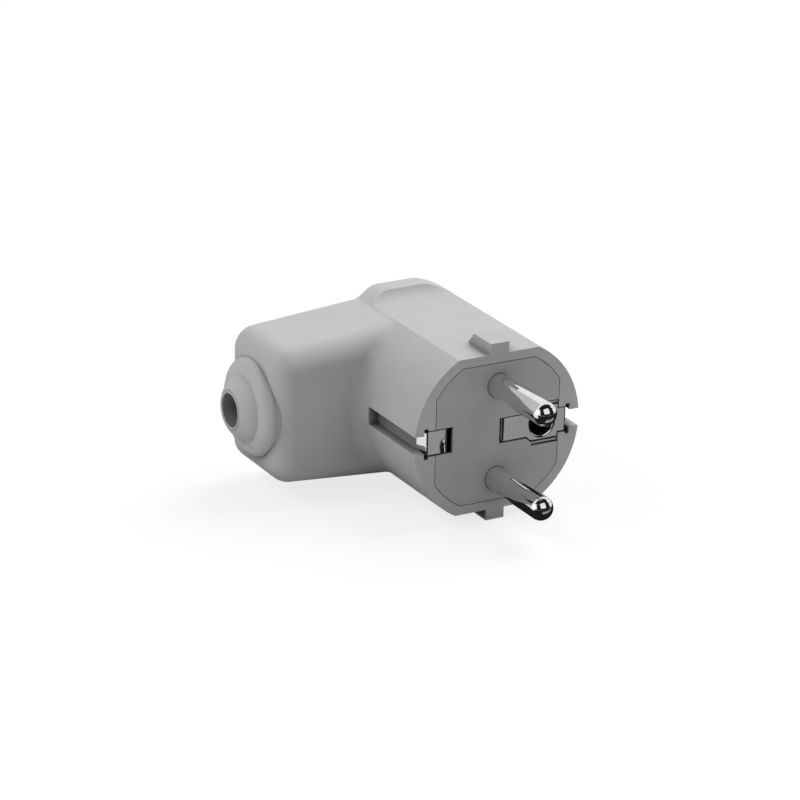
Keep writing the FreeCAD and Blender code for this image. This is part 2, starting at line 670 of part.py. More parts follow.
def cord_clamp_bridge():
    x0 = CLAMP_X - CLAMP_WIDTH / 2
    x1 = x0 + CLAMP_WIDTH
    ears = block(x0, x1, CLAMP_FACE_Y, CLAMP_FACE_Y + CLAMP_EAR_THICKNESS,
                 -CLAMP_POST_OUTER, CLAMP_POST_OUTER)
    arch = cable_rod(x0, x1, CORD_HOLE_RADIUS + CLAMP_ARCH_WALL)
    arch = arch.cut(block(x0 - PAST, x1 + PAST, 0, CLAMP_FACE_Y, -CLAMP_POST_OUTER, CLAMP_POST_OUTER))
    hole = rod(CLAMP_X, CLAMP_SCREW_Z, CLAMP_FACE_Y - PAST, CLAMP_FACE_Y + CLAMP_EAR_THICKNESS + PAST,
               M3_RADIUS + SCREW_HOLE_FIT)
    cord = cable_rod(x0 - PAST, x1 + PAST, CORD_HOLE_RADIUS)
    return without(joined([ears, arch]), [hole, mirrored_in_z(hole), cord])


def cord_clamp_screw(z):
    seat = CLAMP_FACE_Y + CLAMP_EAR_THICKNESS
    return slotted_screw(CLAMP_X, z, seat - CLAMP_SCREW_LENGTH, seat, CLAMP_HEAD_RADIUS,
                         CLAMP_HEAD_HEIGHT)


def cord_clamp_insert(z):
    outside = rod(CLAMP_X, z, CLAMP_FACE_Y - INSERT_LENGTH, CLAMP_FACE_Y, INSERT_RADIUS)
    thread = rod(CLAMP_X, z, CLAMP_FACE_Y - INSERT_LENGTH - PAST, CLAMP_FACE_Y + PAST,
                 M3_RADIUS + THREAD_FIT)
    return outside.cut(thread)


# Housing screw and its nut

def nut_corner_radius():
    return NUT_ACROSS_FLATS / math.sqrt(3)


def housing_nut():
    radius = nut_corner_radius()
    angles = [math.radians(90 + 60 * side) for side in range(6)]
    corners = [(TOWER_X + radius * math.cos(a), radius * math.sin(a)) for a in angles]
    body = prism_along_y(corners, NUT_START_Y, NUT_START_Y + NUT_THICKNESS)
    thread = rod(TOWER_X, 0, NUT_START_Y - PAST, NUT_START_Y + NUT_THICKNESS + PAST,
                 M3_RADIUS + THREAD_FIT)
    return body.cut(thread)


def housing_screw():
    return slotted_screw(TOWER_X, 0, HOUSING_SEAT_Y - HOUSING_SCREW_LENGTH, HOUSING_SEAT_Y,
                         HOUSING_HEAD_RADIUS, HOUSING_HEAD_HEIGHT)


def all_pieces():
    pin_back = CARRIER_THICKNESS
    return {
        "housing": housing(),
        "cable_boot": cable_boot(),
        "contact_carrier": contact_carrier(),
        "line_pin": contact_pin(PIN_Z),
        "neutral_pin": contact_pin(-PIN_Z),
        "line_wire_leaf": wire_leaf(0, PIN_Z, pin_back),
        "neutral_wire_leaf": wire_leaf(0, -PIN_Z, pin_back),
        "earth_wire_leaf": wire_leaf(EARTH_TERMINAL_X, 0, STRAP_BACK_Y),
        "line_terminal_screw": terminal_screw(0, PIN_Z, pin_back),
        "neutral_terminal_screw": terminal_screw(0, -PIN_Z, pin_back),
        "earth_terminal_screw": terminal_screw(EARTH_TERMINAL_X, 0, STRAP_BACK_Y),
        "earth_bracket": earth_bracket(),
        "earth_pin_sleeve": earth_pin_sleeve(),
        "sleeve_spring_ring": sleeve_spring_ring(),
        "earth_terminal_block": earth_terminal_block(),
        "cord_clamp_bridge": cord_clamp_bridge(),
        "cord_clamp_screw_upper": cord_clamp_screw(CLAMP_SCREW_Z),
        "cord_clamp_screw_lower": cord_clamp_screw(-CLAMP_SCREW_Z),
        "cord_clamp_insert_upper": cord_clamp_insert(CLAMP_SCREW_Z),
        "cord_clamp_insert_lower": cord_clamp_insert(-CLAMP_SCREW_Z),
        "housing_screw": housing_screw(),
        "housing_nut": housing_nut(),
    }


def main():
    os.makedirs("parts", exist_ok=True)
    for name, shape in all_pieces().items():
        box = shape.BoundBox
        print(name, len(shape.Solids), shape.isValid(), round(shape.Volume, 1),
              "X %.2f %.2f Y %.2f %.2f Z %.2f %.2f" % (box.XMin, box.XMax, box.YMin, box.YMax,
                                                       box.ZMin, box.ZMax))
        shape.exportStep("parts/" + name + ".step")


main()
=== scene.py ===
# %% [markdown]
# # Dressing an angled earthed mains plug
# The CAD model gives every piece its place and size. This lesson adds the looks in Blender 4.5:
# procedural finishes, two pins and a boot turned again with a finer mesh, soft studio light and a
# camera at the photograph's place. All lengths are in metres, so MM stands for a millimetre.

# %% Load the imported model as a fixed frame
import math
import bmesh
import bpy
from mathutils import Matrix, Vector


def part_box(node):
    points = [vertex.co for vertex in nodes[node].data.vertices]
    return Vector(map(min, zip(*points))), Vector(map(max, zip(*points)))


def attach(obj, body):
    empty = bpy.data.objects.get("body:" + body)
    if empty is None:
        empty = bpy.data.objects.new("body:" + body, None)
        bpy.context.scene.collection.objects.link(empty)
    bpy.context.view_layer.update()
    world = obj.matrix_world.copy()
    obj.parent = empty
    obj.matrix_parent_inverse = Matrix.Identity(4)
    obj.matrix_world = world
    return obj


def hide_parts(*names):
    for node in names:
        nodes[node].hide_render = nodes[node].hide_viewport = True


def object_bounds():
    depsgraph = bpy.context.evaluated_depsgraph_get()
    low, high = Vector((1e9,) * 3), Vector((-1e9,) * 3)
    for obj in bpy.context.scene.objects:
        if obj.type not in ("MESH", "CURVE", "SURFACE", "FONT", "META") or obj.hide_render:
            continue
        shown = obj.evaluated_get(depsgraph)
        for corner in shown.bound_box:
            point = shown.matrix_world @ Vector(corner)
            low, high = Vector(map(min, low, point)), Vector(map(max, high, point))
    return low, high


MM = 0.001
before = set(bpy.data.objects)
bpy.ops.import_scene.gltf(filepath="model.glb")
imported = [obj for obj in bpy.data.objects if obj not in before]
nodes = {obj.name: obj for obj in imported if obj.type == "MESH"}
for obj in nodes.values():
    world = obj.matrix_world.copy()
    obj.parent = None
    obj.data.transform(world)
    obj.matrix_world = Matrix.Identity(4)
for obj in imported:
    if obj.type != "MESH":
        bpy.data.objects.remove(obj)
cad_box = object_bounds()
print("CAD nodes:", len(nodes), "box:", cad_box)

# %% [markdown]
# ## The camera
# The photograph was taken with a long lens from the front left and a little above. A camera can
# be aimed with a Track To constraint, but that keeps its horizon level. Here its matrix is written
# down instead. Its columns say where the camera's right, its up and its back point, and then its
# place, so the small roll of the real camera is kept.

# %% Camera at the photograph's place
lens_data = bpy.data.cameras.new("photo_camera")
lens_data.sensor_width = 36.0
lens_data.lens = 168.68
lens_data.clip_start = 0.01
camera = bpy.data.objects.new("photo_camera", lens_data)
bpy.context.scene.collection.objects.link(camera)
camera.matrix_world = Matrix((
    (0.87386945, 0.15826644, -0.45967805, -0.343160),
    (-0.48569209, 0.32571121, -0.81118149, -0.567711),
    (0.02133949, 0.93212872, 0.36149783, 0.263070),
    (0, 0, 0, 1)))
bpy.context.scene.camera = camera
print("camera distance:", round(camera.location.length, 3), "m")

# %% [markdown]
# ## Small helpers for materials
# Every finish below is a graph of nodes that ends in one Principled shader. The graph could be
# drawn by hand in the shader editor, but written as code it can be used again with other values.
# One helper starts a material, one adds a node, and one fills an input with either a number or
# the output of another node.

# %% Helpers that build a node graph
def start_finish(name):
    material = bpy.data.materials.new(name)
    material.use_nodes = True
    tree = material.node_tree
    shader = tree.nodes["Principled BSDF"]
    return material, tree, shader


def add(tree, kind, inputs=(), **settings):
    made = tree.nodes.new("ShaderNode" + kind)
    for key, value in settings.items():
        setattr(made, key, value)
    for socket, value in dict(inputs).items():
        plug_in(tree, made.inputs[socket], value)
    return made


def plug_in(tree, socket, value):
    if isinstance(value, bpy.types.NodeSocket):
        tree.links.new(value, socket)
    else:
        socket.default_value = value


def grey(level):
    return (level, level, level, 1.0)


print("node helpers ready")

# %% [markdown]
# ## Moulded plastic: edges and tint
# The plug's body is injection moulded in a grey that is never quite even, and hands polish its
# edges. A painted texture could show both, but it would need an unwrapped mesh. Noise in object
# space needs none. A Bevel node rounds the sharp edges in the shading only. Where its normal
# parts from the true one there is an edge, and that share drives the wear and a painted highlight.

# %% Find the edges and mottle the colour
TINT_SPREAD = 0.06
EDGE_PAINT = 1.16
EDGE_WEAR_AND_HIGHLIGHT = 0.35
EDGE_POLISH = 0.1


def edge_share(tree, soft_edge, true_normal):
    agreement = add(tree, "VectorMath", {0: soft_edge, 1: true_normal}, operation="DOT_PRODUCT")
    edge = add(tree, "MapRange", {"Value": agreement.outputs["Value"], "From Min": 0.995,
                                  "From Max": 0.88, "To Min": 0.0, "To Max": 1.0})
    return edge.outputs["Result"]


def mottled_tint(tree, place, level):
    clouds = add(tree, "TexNoise", {"Vector": place, "Scale": 90.0, "Detail": 4.0,
                                    "Roughness": 0.6})
    speckle = add(tree, "TexNoise", {"Vector": place, "Scale": 2600.0, "Detail": 2.0})
    blotch = add(tree, "Mix", {"Factor": 0.35, "A": clouds.outputs["Fac"],
                               "B": speckle.outputs["Fac"]}, data_type="FLOAT")
    tint = add(tree, "ValToRGB", {"Fac": blotch.outputs["Result"]})
    darker, paler = tint.color_ramp.elements
    darker.position, paler.position = 0.3, 0.7
    darker.color = grey(level * (1 - TINT_SPREAD))
    paler.color = grey(level * (1 + TINT_SPREAD))
    return tint.outputs["Color"]


print("tint spread:", TINT_SPREAD)

# %% [markdown]
# ## Moulded plastic: corners and gaps
# Shade is painted into the grooves, at the foot of the ribs and in the gaps of the face, as the
# lamps alone leave such narrow places too pale. Ambient occlusion measures how shut in a point is.
# Its normal leans towards the sky, so the painted shade falls as if the light came from above. The
# gaps between the insert and the metal get darker painted shade, nearly black below a given depth.

# %% Paint shade into corners and deep gaps
SKY_LEAN = 0.8
SHUT_IN = 0.1
GAP_FADE_MM = 0.35
GAP_LEVEL = 0.04


def corner_shade(tree, true_normal, reach_mm, open_level, darkest):
    leaning = add(tree, "VectorMath", {0: true_normal, 1: (0.0, 0.0, SKY_LEAN)}, operation="ADD")
    skyward = add(tree, "VectorMath", {0: leaning.outputs[0]}, operation="NORMALIZE")
    corner = add(tree, "AmbientOcclusion", {"Distance": reach_mm * MM,
                                            "Normal": skyward.outputs[0]}, samples=8)
    # Painted shade: the more shut in a point is, the darker its colour.
    painted_corner_shade = add(tree, "MapRange", {"Value": corner.outputs["AO"], "From Min": SHUT_IN,
                                   "From Max": open_level, "To Min": darkest, "To Max": 1.0})
    return painted_corner_shade.outputs["Result"]


def painted_gap_shade(tree, place, shade, dark_below_mm):
    depth = add(tree, "SeparateXYZ", {"Vector": place}).outputs["Y"]
    # Painted shade: below the given depth the insert's colour fades to nearly black.
    in_gap = add(tree, "MapRange", {"Value": depth, "From Min": dark_below_mm * MM,
                                    "From Max": (dark_below_mm + GAP_FADE_MM) * MM,
                                    "To Min": 1.0, "To Max": GAP_LEVEL})
    both = add(tree, "Math", {0: shade, 1: in_gap.outputs["Result"]}, operation="MULTIPLY")
    return both.outputs[0]


print("corner shade leans to the sky by", SKY_LEAN)

# %% [markdown]
# ## Moulded plastic: the side grooves
# Each side of the head has a groove in which the earth strip lies. The groove's upper wall would
# shade its floor, and that shade is painted into the colour. A second material on the floor's
# faces would do, but the CAD mesh isn't edited. The places of the points mark the floor instead:
# halfway between the two pins in height, short of the groove's end, and deeper than the head's
# round skin.
# The painted shade grows with that depth.

# %% Paint shade on the floor of the grooves
GROOVE_SKIN_X, GROOVE_DEEP_X = 17.4 * MM, 16.2 * MM
GROOVE_HALF, GROOVE_END_Y = 2.0 * MM, 18.5 * MM
GROOVE_SHADE_LEVEL = 0.6


def painted_groove_shade(tree, place, shade):
    parts = add(tree, "SeparateXYZ", {"Vector": place}).outputs
    off_middle = add(tree, "Math", {0: parts["X"]}, operation="ABSOLUTE")
    off_level = add(tree, "Math", {0: parts["Z"]}, operation="ABSOLUTE")
    deep = add(tree, "MapRange", {"Value": off_middle.outputs[0], "From Min": GROOVE_SKIN_X,
                                  "From Max": GROOVE_DEEP_X, "To Min": 0.0, "To Max": 1.0})
    level_with = add(tree, "Math", {0: off_level.outputs[0], 1: GROOVE_HALF},
                     operation="LESS_THAN")
    before_end = add(tree, "Math", {0: parts["Y"], 1: GROOVE_END_Y}, operation="LESS_THAN")
    inside = add(tree, "Math", {0: level_with.outputs[0], 1: before_end.outputs[0]},
                 operation="MULTIPLY")
    share = add(tree, "Math", {0: inside.outputs[0], 1: deep.outputs["Result"]},
                operation="MULTIPLY")
    # Painted shade: the deep groove floor keeps only part of its tone.
    floor = add(tree, "MapRange", {"Value": share.outputs[0], "To Min": 1.0,
                                   "To Max": GROOVE_SHADE_LEVEL})
    both = add(tree, "Math", {0: shade, 1: floor.outputs["Result"]}, operation="MULTIPLY")
    return both.outputs[0]


print("groove floor keeps", GROOVE_SHADE_LEVEL, "of its tone")

# %% [markdown]
# ## Moulded plastic: the whole recipe
# The mould was spark eroded, which leaves a tight grain about a quarter of a millimetre across.
# Real displacement would need millions of faces for that, so a fine noise drives the bump. A wider
# noise shifts the gloss a little. The edges are smoother, as handled plastic is, and paler, partly
# from wear and partly as a painted highlight.

# %% Recipe for moulded plastic
GRAIN_HEIGHT = 0.02 * MM
PLASTIC_IOR = 1.5


def moulded_plastic(name, level, gloss, grain_mm, grain_depth, edge_mm, painted_shade, dark_below_mm=None,
                    groove_floor_shaded=False):
    material, tree, shader = start_finish(name)
    place = add(tree, "TexCoord").outputs["Object"]
    true_normal = add(tree, "NewGeometry").outputs["Normal"]
    soft_edge = add(tree, "Bevel", {"Radius": edge_mm * MM}, samples=4).outputs[0]
    edge = edge_share(tree, soft_edge, true_normal)
    # Painted shade in shut-in corners, from ambient occlusion.
    shade = corner_shade(tree, true_normal, *painted_shade)
    # Painted shade in the insert's deep gaps.
    if dark_below_mm is not None:
        shade = painted_gap_shade(tree, place, shade, dark_below_mm)
    # Painted shade on the groove floors.
    if groove_floor_shaded:
        shade = painted_groove_shade(tree, place, shade)
    shaded = add(tree, "MixRGB", {"Fac": 1.0, "Color1": mottled_tint(tree, place, level),
                                  "Color2": shade}, blend_type="MULTIPLY")
    # Paler edges: partly wear, partly a painted highlight.
    wear_and_highlight = add(tree, "Math", {0: edge, 1: EDGE_WEAR_AND_HIGHLIGHT}, operation="MULTIPLY")
    worn_and_highlit = add(tree, "MixRGB", {"Fac": wear_and_highlight.outputs[0], "Color1": shaded.outputs["Color"],
                                "Color2": grey(EDGE_PAINT * level)})
    smudge = add(tree, "TexNoise", {"Vector": place, "Scale": 240.0, "Detail": 3.0})
    matte = add(tree, "MapRange", {"Value": smudge.outputs["Fac"], "From Min": 0.3,
                                   "From Max": 0.7, "To Min": gloss - 0.05,
                                   "To Max": gloss + 0.06})
    polish = add(tree, "Math", {0: edge, 1: EDGE_POLISH}, operation="MULTIPLY")
    roughness = add(tree, "Math", {0: matte.outputs["Result"], 1: polish.outputs[0]},
                    operation="SUBTRACT")
    grain = add(tree, "TexNoise", {"Vector": place, "Scale": 1.0 / (grain_mm * MM),
                                   "Detail": 3.0, "Roughness": 0.55})
    relief = add(tree, "Bump", {"Height": grain.outputs["Fac"], "Strength": grain_depth,
                                "Distance": GRAIN_HEIGHT, "Normal": soft_edge})
    plug_in(tree, shader.inputs["Base Color"], worn_and_highlit.outputs["Color"])
    plug_in(tree, shader.inputs["Roughness"], roughness.outputs[0])
    plug_in(tree, shader.inputs["Normal"], relief.outputs[0])
    shader.inputs["IOR"].default_value = PLASTIC_IOR
    print("finish:", name)
    return material


# %% [markdown]
# ## The five plastics
# The same recipe serves every moulding, because they differ in a few values only. The housing has
# painted shade on its groove floors and the deepest grain. The insert that carries the contacts
# comes from another mould, so its grey is darker and its grain finer, and its gaps get painted
# shade.
# The soft boot is smoother and duller, its way for the cable gets a copy of its plastic with
# painted shade, and the clamp inside was never meant to be seen. Each painted shade value holds
# the reach in millimetres, the openness that counts as unshaded, and the darkest share.

# %% Mix the five plastics
housing_grey = moulded_plastic("moulded_housing_grey", level=0.38, gloss=0.5, grain_mm=0.26,
                               grain_depth=1.1, edge_mm=0.13, painted_shade=(3.8, 0.9, 0.03),
                               groove_floor_shaded=True)
insert_grey = moulded_plastic("moulded_insert_grey", level=0.33, gloss=0.46, grain_mm=0.2,
                              grain_depth=0.9, edge_mm=0.08, painted_shade=(2.0, 0.48, 0.1),
                              dark_below_mm=0.36)
boot_grey = moulded_plastic("soft_boot_grey", level=0.39, gloss=0.55, grain_mm=0.32,
                            grain_depth=0.6, edge_mm=0.12, painted_shade=(3.0, 0.84, 0.2))
# A darker copy of the boot plastic: painted shade for the cable's way.
bore_shade_paint = moulded_plastic("painted_shade_boot_way", level=0.17, gloss=0.6, grain_mm=0.32,
                            grain_depth=0.4, edge_mm=0.12, painted_shade=(1.5, 0.48, 0.5))
clamp_dark = moulded_plastic("clamp_dark_grey", level=0.09, gloss=0.5, grain_mm=0.25,
                             grain_depth=0.4, edge_mm=0.15, painted_shade=(1.0, 0.48, 0.6))

# %% [markdown]
# ## Plated and bare metal
# The pins and the earth strip are brass with bright nickel on it. Bright plate is nearly a mirror,
# and what makes it read as metal is what it reflects. Anisotropy could fake the marks of the
# machine, but it needs tangents. A noise stretched along one axis gives real hairlines to the bump
# instead, and a broad noise leaves dull patches where the plate was touched.

# %% Recipe for metal
HAIRLINE_HEIGHT = 0.004 * MM
METAL_EDGE = 0.08 * MM
TOUCHED_TINT = 0.9


def worked_metal(name, colour, dull, bright, lines, line_depth):
    material, tree, shader = start_finish(name)
    place = add(tree, "TexCoord").outputs["Object"]
    stretched = add(tree, "Mapping", {"Vector": place, "Scale": lines})
    hairline = add(tree, "TexNoise", {"Vector": stretched.outputs[0], "Scale": 1.0,
                                      "Detail": 4.0, "Roughness": 0.7})
    touched = add(tree, "TexNoise", {"Vector": place, "Scale": 320.0, "Detail": 5.0,
                                     "Roughness": 0.65})
    wear = add(tree, "MapRange", {"Value": touched.outputs["Fac"], "From Min": 0.42,
                                  "From Max": 0.75, "To Min": bright, "To Max": dull})
    tone = add(tree, "ValToRGB", {"Fac": touched.outputs["Fac"]})
    clean, dulled = tone.color_ramp.elements
    clean.position, dulled.position = 0.35, 0.8
    clean.color = tuple(colour) + (1.0,)
    dulled.color = tuple(TOUCHED_TINT * part for part in colour) + (1.0,)
    soft_edge = add(tree, "Bevel", {"Radius": METAL_EDGE}, samples=4)
    relief = add(tree, "Bump", {"Height": hairline.outputs["Fac"], "Strength": line_depth,
                                "Distance": HAIRLINE_HEIGHT, "Normal": soft_edge.outputs[0]})
    plug_in(tree, shader.inputs["Base Color"], tone.outputs["Color"])
    plug_in(tree, shader.inputs["Roughness"], wear.outputs["Result"])
    plug_in(tree, shader.inputs["Normal"], relief.outputs[0])
    shader.inputs["Metallic"].default_value = 1.0
    print("finish:", name)
    return material


# %% [markdown]
# ## The five metals
# Pins and strip share the nickel bath, but the pins are turned and the strip is rolled, so their
# hairlines run differently. The terminals are plain brass, the screws and the nut have dull zinc,
# and the ring round the earth sleeve is bare spring steel. The three numbers of lines are the
# marks per metre along X, Y and Z.

# %% Mix the five metals
pin_nickel = worked_metal("nickel_on_turned_pin", (0.8, 0.8, 0.795), dull=0.06, bright=0.02,
                          lines=(900, 6000, 900), line_depth=0.15)
strip_nickel = worked_metal("nickel_on_rolled_strip", (0.78, 0.78, 0.775), dull=0.04,
                            bright=0.02, lines=(600, 600, 5000), line_depth=0.1)
terminal_brass = worked_metal("milled_brass", (0.72, 0.52, 0.24), dull=0.34, bright=0.2,
                              lines=(5000, 700, 5000), line_depth=0.5)
zinc_steel = worked_metal("zinc_plated_steel", (0.6, 0.62, 0.65), dull=0.36, bright=0.22,
                          lines=(2500, 2500, 2500), line_depth=0.5)
spring_steel = worked_metal("bare_spring_steel", (0.42, 0.43, 0.45), dull=0.32, bright=0.2,
                            lines=(800, 6000, 800), line_depth=0.4)

# %% [markdown]
# ## Dressing the CAD nodes
# A node whose shape is right keeps its mesh and only gets a better finish. Changing its mesh data
# would touch the model itself, so the finish goes into the slots of the object instead. The lists
# below name the nodes of each finish.

# %% Give each node its finish
nodes_of_finish = {
    housing_grey: ["housing"],
    boot_grey: ["cable_boot"],
    insert_grey: ["contact_carrier"],
    pin_nickel: ["line_pin", "neutral_pin"],
    strip_nickel: ["earth_bracket", "earth_pin_sleeve"],
    spring_steel: ["sleeve_spring_ring"],
    terminal_brass: ["earth_terminal_block", "cord_clamp_insert_upper", "cord_clamp_insert_lower"],
    clamp_dark: ["cord_clamp_bridge"],
    zinc_steel: ["line_wire_leaf", "neutral_wire_leaf", "earth_wire_leaf", "line_terminal_screw",
                 "neutral_terminal_screw", "earth_terminal_screw", "cord_clamp_screw_upper",
                 "cord_clamp_screw_lower", "housing_screw", "housing_nut"],
}


def wear_finish(obj, finish):
    if not obj.material_slots:
        obj.data.materials.append(finish)
    for place in obj.material_slots:
        place.link = "OBJECT"
        place.material = finish


for finish, node_names in nodes_of_finish.items():
    for node_name in node_names:
        wear_finish(nodes[node_name], finish)
print("dressed", sum(len(names) for names in nodes_of_finish.values()), "nodes")

# %% [markdown]
# ## From mesh to object
# Every piece made here is first built as loose mesh code and then settled into the scene as an
# object. Its faces are shaded smooth, so that a turned side looks round. Flat shading with more
# faces would look round too, but would be heavy. Edges sharper than 35 degrees stay crisp.

# %% Settle a mesh in the scene
SMOOTH_BELOW_DEGREES = 35


def settle(name, mesh, finish):
    data = bpy.data.meshes.new(name)
    mesh.to_mesh(data)
    mesh.free()
    obj = bpy.data.objects.new(name, data)
    bpy.context.scene.collection.objects.link(obj)
    data.materials.append(finish)
    for face in data.polygons:
        face.use_smooth = True
    data.set_sharp_from_angle(angle=math.radians(SMOOTH_BELOW_DEGREES))
    print(name, "faces:", len(data.polygons))
    return obj


# %% [markdown]
# ## Turned pieces
# The pins and the boot are turned shapes: one outline swept round an axis. A Screw modifier would
# sweep it too, but it leaves a pinched disc where the outline meets the axis. A lathe in mesh code
# lays one ring of vertices at each pair of distance and radius and bridges the rings with quads,
# and on the axis the ring shrinks to a single vertex, so a dome closes cleanly.

# %% A lathe in mesh code
STEPS_ROUND = 96
ON_AXIS = 1e-7


def lathe(name, outline, centre, along, across, finish, closed=False):
    along, across = Vector(along), Vector(across)
    third = along.cross(across)
    mesh = bmesh.new()
    rings = []
    for distance, radius in outline:
        middle = Vector(centre) + along * distance
        if radius < ON_AXIS:
            rings.append([mesh.verts.new(middle)])
            continue
        turns = [2 * math.pi * step / STEPS_ROUND for step in range(STEPS_ROUND)]
        rings.append([mesh.verts.new(middle + radius * (math.cos(turn) * across
                                                        + math.sin(turn) * third))
                      for turn in turns])
    pairs = list(zip(rings, rings[1:]))
    if closed:
        pairs.append((rings[-1], rings[0]))
    for low, high in pairs:
        bridge(mesh, low, high)
    bmesh.ops.recalc_face_normals(mesh, faces=mesh.faces)
    return settle(name, mesh, finish)


def bridge(mesh, low, high):
    count = max(len(low), len(high))
    for step in range(count):
        after = (step + 1) % count
        corners = [low[step % len(low)], low[after % len(low)],
                   high[after % len(high)], high[step % len(high)]]
        unique = list(dict.fromkeys(corners))
        if len(unique) > 2:
            mesh.faces.new(unique)


print("the lathe makes", STEPS_ROUND, "steps round")

# %% [markdown]
# ## The shank of a contact pin
# Each pin is a round bar with a domed tip. Bright plate shows every flat of a coarse mesh, so the
# pins are turned again with 96 steps round and a dome of 20 rings, which costs few triangles.
# Behind the face the pin has a neck and a shoulder that seat in the carrier.

# %% Sizes and outline of the shank
pin_low, pin_high = (Vector(corner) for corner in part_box("line_pin"))
PIN_TIP_Y = pin_low.y
PIN_BLOCK_END_Y = pin_high.y
PIN_Z = (pin_low.z + pin_high.z) / 2
BLOCK_HALF = (pin_high.x - pin_low.x) / 2
PIN_RADIUS = 2.4 * MM
PIN_MIDDLE_Y = -9 * MM
PIN_ROOT_CHAMFER = 0.05 * MM
NECK_RADIUS, NECK_END_Y = 2.1 * MM, 1.0 * MM
SHOULDER_RADIUS = 3.0 * MM
BLOCK_START_Y = 4.5 * MM
BLOCK_GAP = 0.01 * MM
DOME_STEPS = 20


def shank_outline():
    points = []
    for step in range(DOME_STEPS + 1):
        angle = math.pi / 2 * step / DOME_STEPS
        points.append((PIN_TIP_Y + PIN_RADIUS * (1 - math.cos(angle)),
                       PIN_RADIUS * math.sin(angle)))
    shoulder_end = BLOCK_START_Y - BLOCK_GAP
    points += [(PIN_MIDDLE_Y, PIN_RADIUS), (-PIN_ROOT_CHAMFER, PIN_RADIUS),
               (0, PIN_RADIUS - PIN_ROOT_CHAMFER), (0, NECK_RADIUS), (NECK_END_Y, NECK_RADIUS),
               (NECK_END_Y, SHOULDER_RADIUS), (shoulder_end, SHOULDER_RADIUS), (shoulder_end, 0)]
    return points


print("pin tip at", round(PIN_TIP_Y, 5), "pins at height", round(PIN_Z, 5))

# %% [markdown]
# ## Cutting with modifiers
# A real block is drilled and milled. A window and a hole could be built face by face, but Boolean
# modifiers cut each in one step and keep the edges crisp. A light Bevel modifier then breaks those
# edges, as a tumbling drum does with the real ones. In the end the modifiers are applied and the
# cutters go, so only the finished mesh is left.

# %% Cut one piece with others
BROKEN_EDGE = 0.12 * MM


def box_mesh(low, high):
    mesh = bmesh.new()
    size = [b - a for a, b in zip(low, high)]
    middle = [(a + b) / 2 for a, b in zip(low, high)]
    bmesh.ops.create_cube(mesh, size=1.0)
    bmesh.ops.scale(mesh, vec=size, verts=mesh.verts)
    bmesh.ops.translate(mesh, vec=middle, verts=mesh.verts)
    return mesh


def apply_modifiers(obj):
    shaped = obj.evaluated_get(bpy.context.evaluated_depsgraph_get())
    finished = bpy.data.meshes.new_from_object(shaped)
    obj.modifiers.clear()
    obj.data = finished


def cut_away(obj, cutters):
    for cutter in cutters:
        step = obj.modifiers.new("cut", "BOOLEAN")
        step.operation = "DIFFERENCE"
        step.solver = "EXACT"
        step.object = cutter
    edge = obj.modifiers.new("broken_edges", "BEVEL")
    edge.width = BROKEN_EDGE
    edge.segments = 2
    edge.limit_method = "ANGLE"
    bpy.context.view_layer.update()
    apply_modifiers(obj)
    for cutter in cutters:
        bpy.data.objects.remove(cutter, do_unlink=True)


print("broken edges are", round(BROKEN_EDGE / MM, 2), "mm wide")

# %% [markdown]
# ## The terminal block of a pin
# The back of the pin is a square block with a window for the wire and a threaded hole for its
# screw. It is one piece with the shank, and the two could be joined into one mesh. Kept apart, the
# square block and the round shank each stay simple. The block is a box, cut by a smaller box for
# the window and by a turned bar for the hole.

# %% Cut the terminal block
WINDOW_START, WINDOW_END, WINDOW_HALF = 2 * MM, 6 * MM, 1.6 * MM
THREAD_RADIUS, THREAD_START, THREAD_END = 1.55 * MM, 3 * MM, 12 * MM
CUTTER_REACH = 8 * MM


def terminal_block(name, z):
    start = BLOCK_START_Y
    body = settle(name, box_mesh((-BLOCK_HALF, start, z - BLOCK_HALF),
                                 (BLOCK_HALF, PIN_BLOCK_END_Y, z + BLOCK_HALF)), pin_nickel)
    window = settle(name + "_window",
                    box_mesh((-CUTTER_REACH, start + WINDOW_START, z - WINDOW_HALF),
                             (CUTTER_REACH, start + WINDOW_END, z + WINDOW_HALF)), pin_nickel)
    low, high = start + THREAD_START, start + THREAD_END
    thread = lathe(name + "_thread", [(low, 0), (low, THREAD_RADIUS), (high, THREAD_RADIUS),
                                      (high, 0)], (0, 0, z), (0, 1, 0), (1, 0, 0), pin_nickel)
    cut_away(body, [window, thread])
    return body


print("block is", round(2 * BLOCK_HALF / MM, 2), "mm square")

# %% [markdown]
# ## Both pins in their places
# The live and the neutral pin are the same piece, one above the other. Copying objects would share
# their meshes, but each pin replaces its own CAD node, so each is turned afresh at its own height.

# %% Turn both pins
for node_name, sign in (("line_pin", 1), ("neutral_pin", -1)):
    z = sign * PIN_Z
    shank = lathe(node_name + "_turned", shank_outline(), (0, 0, z), (0, 1, 0), (1, 0, 0),
                  pin_nickel)
    block = terminal_block(node_name + "_terminal", z)
    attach(shank, "root")
    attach(block, "root")
    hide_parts(node_name)

# %% [markdown]
# ## The cable boot
# The boot is a soft collar that bulges from the end of the arm, then a short arched nose with a
# thin lip round the cable's way. A subdivided cage could give the same form, but it would round
# the lip away. One outline on the lathe keeps it: a quarter of an ellipse for the collar, the
# nose, the lip, the way, and at the back the flange and neck that snap into the arm's end wall.

# %% Outline of the boot
boot_low, boot_high = (Vector(corner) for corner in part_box("cable_boot"))
CABLE_Y = (boot_low.y + boot_high.y) / 2
COLLAR_RADIUS = (boot_high.y - boot_low.y) / 2
COLLAR_LENGTH = 2.24 * MM
ARM_END_X = -36.0 * MM
COLLAR_END_X = ARM_END_X - COLLAR_LENGTH
WALL_INSIDE_X = ARM_END_X + 2.2 * MM
NOSE_RADIUS, LIP_RADIUS, WAY_RADIUS = 6.8 * MM, 3.88 * MM, 3.38 * MM
NOSE_BULGE, BULGE_FORWARD = 0.2 * MM, 0.7
NECK, FLANGE = 5.2 * MM, 6.6 * MM
COLLAR_STEPS, NOSE_STEPS, LIP_STEPS = 24, 19, 8


